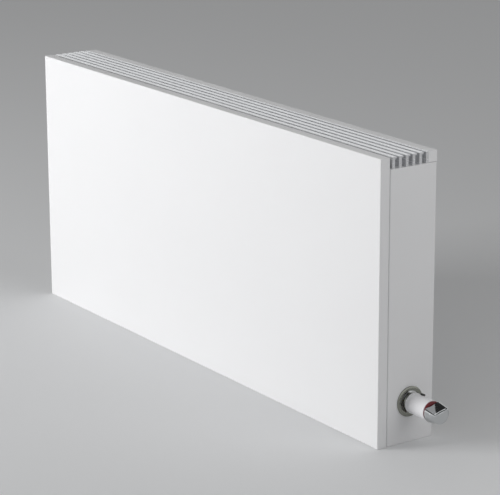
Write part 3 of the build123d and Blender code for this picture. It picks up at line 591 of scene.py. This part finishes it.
class CONVECTOR_OT_head(bpy.types.Operator):
    """Turns the thermostatic head's pieces"""

    bl_idname = "convector.head"
    bl_label = "Thermostatic head"

    def execute(self, context):
        head = context.scene.convector_head
        chrome = plated_metal("bright_chrome", head.chrome, 0.035, 0.03)
        satin = plated_metal("satin_chrome", head.rosette, 0.2, 0.12)
        barrel = moulded_plastic(
            "white_barrel_plastic", head.barrel, 0.3, grain=0.7 * MM, depth=0.015 * MM
        )
        black = moulded_plastic(
            "black_pointer_plastic", linear("#141414"), 0.4, grain=0.6 * MM, depth=0.03 * MM
        )
        self.make_rosette(satin)
        self.make_barrel(barrel)
        dress_node("head_nut", chrome, 0.2 * MM)
        dress_node("setting_pointer", black, 0)
        self.make_grip(head, chrome)
        self.make_ring(head)
        return {"FINISHED"}

    def make_rosette(self, material):
        """Low dished ring: a rolled outer edge, a shallow slope and an inner lip."""
        low, high = box_of("rosette")
        outer = (high.z - low.z) / 2
        ring_width = 7.5 * MM
        inner = outer - ring_width
        wide = high.x - low.x
        outline = [
            (low.x, outer - 0.6 * MM),
            (low.x + wide * 0.45, outer),
            (high.x - 0.4 * MM, outer - 2.2 * MM),
            (high.x, inner + 1.6 * MM),
            (high.x - 0.2 * MM, inner),
            (low.x, inner),
        ]
        turned_piece("rosette_ring", "rosette", outline, material, 0.5 * MM)

    def make_barrel(self, material):
        """The barrel with its groove, and the foot that sits in the nut."""
        low, high = box_of("head_sleeve")
        radius = (high.z - low.z) / 2
        nut_end = box_of("head_nut")[1].x
        groove = nut_end + 6 * MM
        bore, foot, wall, step = 4 * MM, 10.8 * MM, 2.5 * MM, 0.8 * MM
        outline = [
            (low.x, bore),
            (low.x, foot),
            (nut_end, foot),
            (nut_end, radius - step),
            (nut_end + step, radius),
            (groove, radius),
            (groove + 0.4 * MM, radius - step),
            (groove + 1.0 * MM, radius - step),
            (groove + 1.4 * MM, radius),
            (high.x, radius),
            (high.x, radius - wall),
            (nut_end + 4 * MM, radius - wall),
            (nut_end + 4 * MM, bore),
        ]
        turned_piece("head_barrel", "head_sleeve", outline, material, 0.18 * MM, 2)

    def make_grip(self, head, chrome):
        """The tapered grip with its slanted flat, turned a little, in rings from root to tip."""
        low, high = box_of("grip_cap")
        y, z = valve_axis()
        radius = z - low.z
        wide = high.x - low.x
        facing = Matrix.Rotation(math.pi / 2, 4, "Y")
        bm = bmesh.new()
        rings = []
        for along, inset in self.grip_stations(wide, head.grip_rounding):
            circle = bmesh.ops.create_circle(bm, segments=head.steps, radius=1, matrix=facing)
            round_here = radius - head.taper * along
            flat_here = head.flat_root + (head.flat_tip - head.flat_root) * along
            for vert in circle["verts"]:
                across, upward = vert.co.y, vert.co.z
                cone = 1 / round_here
                # the flat stands only where it faces outwards
                flat = upward * math.cos(head.turn) - across * math.sin(head.turn)
                flat = max(0, flat) / flat_here
                # cone and flat blend where they meet, which rounds the corner
                reach = (cone**head.softness + flat**head.softness) ** (-1 / head.softness)
                reach -= inset
                vert.co = (low.x + wide * along, y + across * reach, z + upward * reach)
            rings.append(list(dict.fromkeys(e for v in circle["verts"] for e in v.link_edges)))
        for near, far in zip(rings, rings[1:]):
            bmesh.ops.bridge_loops(bm, edges=near + far)
        for rim in (rings[0], rings[-1]):
            bmesh.ops.contextual_create(bm, geom=rim)
        mesh = finish_bmesh("grip_shell", bm)
        piece = link_piece("grip_shell", mesh, *body_of_node("grip_cap"), chrome)
        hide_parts("grip_cap")

    def grip_stations(self, wide, rounding):
        """Places along the grip, 0 to 1, with how far its rounded ends draw in there."""
        steps = 8
        turns = [i / steps * math.pi / 2 for i in range(steps + 1)]
        # a quarter of an arc: depth below the end, and how far the rim draws in there
        arc = [(1 - math.cos(a), 1 - math.sin(a)) for a in turns]
        root = [(rounding / 3 * depth, rounding / 3 * inset) for depth, inset in arc]
        tip = [(wide - rounding * depth, rounding * inset) for depth, inset in reversed(arc)]
        middle = [(wide * i / steps, 0) for i in range(1, steps)]
        middle = [place for place in middle if root[-1][0] < place[0] < tip[0][0]]
        return [(x / wide, inset) for x, inset in root + middle + tip]

    def make_ring(self, head):
        """The red ring, a little below barrel and grip, with its spigot in the grip."""
        low, high = box_of("red_ring")
        bore, spigot, recess = 7 * MM, 10 * MM, 1.4 * MM
        radius = (high.z - low.z) / 2 - recess
        seat = box_of("grip_cap")[0].x
        outline = [
            (low.x, bore),
            (low.x, radius),
            (seat, radius),
            (seat, spigot),
            (high.x, spigot),
            (high.x, bore),
        ]
        red = moulded_plastic(
            "red_ring_plastic", head.window, 0.14, grain=2.0 * MM, depth=0.01 * MM
        )
        turned_piece("red_collar", "red_ring", outline, red, 0.3 * MM)


class CONVECTOR_OT_stage(bpy.types.Operator):
    """Adds the floor, the lights, the background and the camera"""

    bl_idname = "convector.stage"
    bl_label = "Stage"

    def execute(self, context):
        stage = context.scene.convector_stage
        self.make_floor(stage)
        self.make_world(context.scene, stage)
        self.make_light("key", KEY_PLACE, KEY_TARGET, KEY_SIZE, stage.key_power)
        self.make_light("side", SIDE_PLACE, SIDE_TARGET, SIDE_SIZE, stage.side_power)
        self.make_camera(context.scene)
        context.scene.view_settings.view_transform = "Standard"
        return {"FINISHED"}

    def make_floor(self, stage):
        """A wide pale floor with a slight sheen."""
        bm = bmesh.new()
        bmesh.ops.create_circle(bm, cap_ends=True, segments=64, radius=FLOOR_RADIUS)
        mesh = bpy.data.meshes.new("floor")
        bm.to_mesh(mesh)
        bm.free()
        material, tree, shader, coordinates = new_material("floor_paint", 0.3)
        drift = noise(tree, coordinates, 0.8, detail=1.0)
        blend_colours(tree, shader, drift, "Fac", shade(stage.floor, 0.985), stage.floor)
        pale = add_node(tree, "ShaderNodeBsdfDiffuse", {"Color": opaque(stage.floor_seen)})
        mix = add_node(
            tree,
            "ShaderNodeMixShader",
            links={0: (seen_rays(tree), "Value"), 1: (shader, "BSDF"), 2: (pale, "BSDF")},
        )
        tree.links.new(mix.outputs["Shader"], tree.nodes["Material Output"].inputs["Surface"])
        mesh.materials.append(material)
        floor = bpy.data.objects.new("floor", mesh)
        bpy.context.scene.collection.objects.link(floor)

    def make_world(self, scene, stage):
        """Even light on matt surfaces, with the background that the camera and the metal see."""
        world = bpy.data.worlds.new("studio")
        world.use_nodes = True
        scene.world = world
        tree = world.node_tree
        tree.nodes.clear()
        coordinates = add_node(tree, "ShaderNodeTexCoord")
        axes = add_node(tree, "ShaderNodeSeparateXYZ", links={"Vector": (coordinates, "Generated")})
        ramp = add_node(tree, "ShaderNodeValToRGB", links={"Fac": (axes, "Z")})
        stops = ramp.color_ramp.elements
        stops[0].color = opaque(stage.sky)
        stops[1].color = opaque(shade(stage.sky, SKY_TOP))
        for place, factor in SKY_STOPS:
            stops.new(place).color = opaque(shade(stage.sky, factor))
        even = {"Color": (1, 1, 1, 1), "Strength": stage.ambient}
        light = add_node(tree, "ShaderNodeBackground", even)
        seen = add_node(tree, "ShaderNodeBackground", {"Strength": 1.0}, {"Color": (ramp, "Color")})
        mix = add_node(
            tree,
            "ShaderNodeMixShader",
            links={
                0: (seen_rays(tree), "Value"),
                1: (light, "Background"),
                2: (seen, "Background"),
            },
        )
        add_node(tree, "ShaderNodeOutputWorld", links={"Surface": (mix, "Shader")})

    def make_light(self, name, place, target, size, power):
        """A square soft light aimed at a point, unseen by the camera and in the polished metal."""
        data = bpy.data.lights.new(name, "AREA")
        data.size = size
        data.energy = power
        lamp = bpy.data.objects.new(name, data)
        lamp.visible_glossy = False
        lamp.visible_camera = False
        lamp.location = place
        lamp.rotation_euler = (Vector(target) - Vector(place)).to_track_quat("-Z", "Y").to_euler()
        bpy.context.scene.collection.objects.link(lamp)

    def make_camera(self, scene):
        """The camera where the photograph was taken from: long lens, above and to the right."""
        back = CAMERA_RIGHT.cross(CAMERA_UP).normalized()
        up = back.cross(CAMERA_RIGHT).normalized()
        data = bpy.data.cameras.new("camera")
        data.lens = CAMERA_LENS
        data.clip_end = CAMERA_FAR
        camera = bpy.data.objects.new("camera", data)
        turn = Matrix((CAMERA_RIGHT.normalized(), up, back)).transposed().to_4x4()
        camera.matrix_world = Matrix.Translation(CAMERA_PLACE) @ turn
        scene.collection.objects.link(camera)
        scene.camera = camera


class CONVECTOR_PT_panel(bpy.types.Panel):
    """Lists the steps in the sidebar"""

    bl_idname = "CONVECTOR_PT_panel"
    bl_label = "Convector"
    bl_space_type = "VIEW_3D"
    bl_region_type = "UI"
    bl_category = "Convector"

    def draw(self, context):
        for operator in OPERATORS:
            self.layout.operator(operator.bl_idname)


OPERATORS = (
    CONVECTOR_OT_casing,
    CONVECTOR_OT_grille,
    CONVECTOR_OT_fins,
    CONVECTOR_OT_exchanger,
    CONVECTOR_OT_head,
    CONVECTOR_OT_stage,
)


def register():
    for group in SETTINGS.values():
        bpy.utils.register_class(group)
    for operator in OPERATORS:
        bpy.utils.register_class(operator)
    bpy.utils.register_class(CONVECTOR_PT_panel)
    for name, group in SETTINGS.items():
        setattr(bpy.types.Scene, name, PointerProperty(type=group))


def unregister():
    for name in SETTINGS:
        delattr(bpy.types.Scene, name)
    bpy.utils.unregister_class(CONVECTOR_PT_panel)
    for operator in reversed(OPERATORS):
        bpy.utils.unregister_class(operator)
    for group in reversed(SETTINGS.values()):
        bpy.utils.unregister_class(group)


def main():
    """Runs every step in order."""
    register()
    bpy.ops.convector.casing()
    bpy.ops.convector.grille()
    bpy.ops.convector.fins()
    bpy.ops.convector.exchanger()
    bpy.ops.convector.head()
    bpy.ops.convector.stage()
    bpy.context.view_layer.update()


if __name__ == "__main__":
    main()
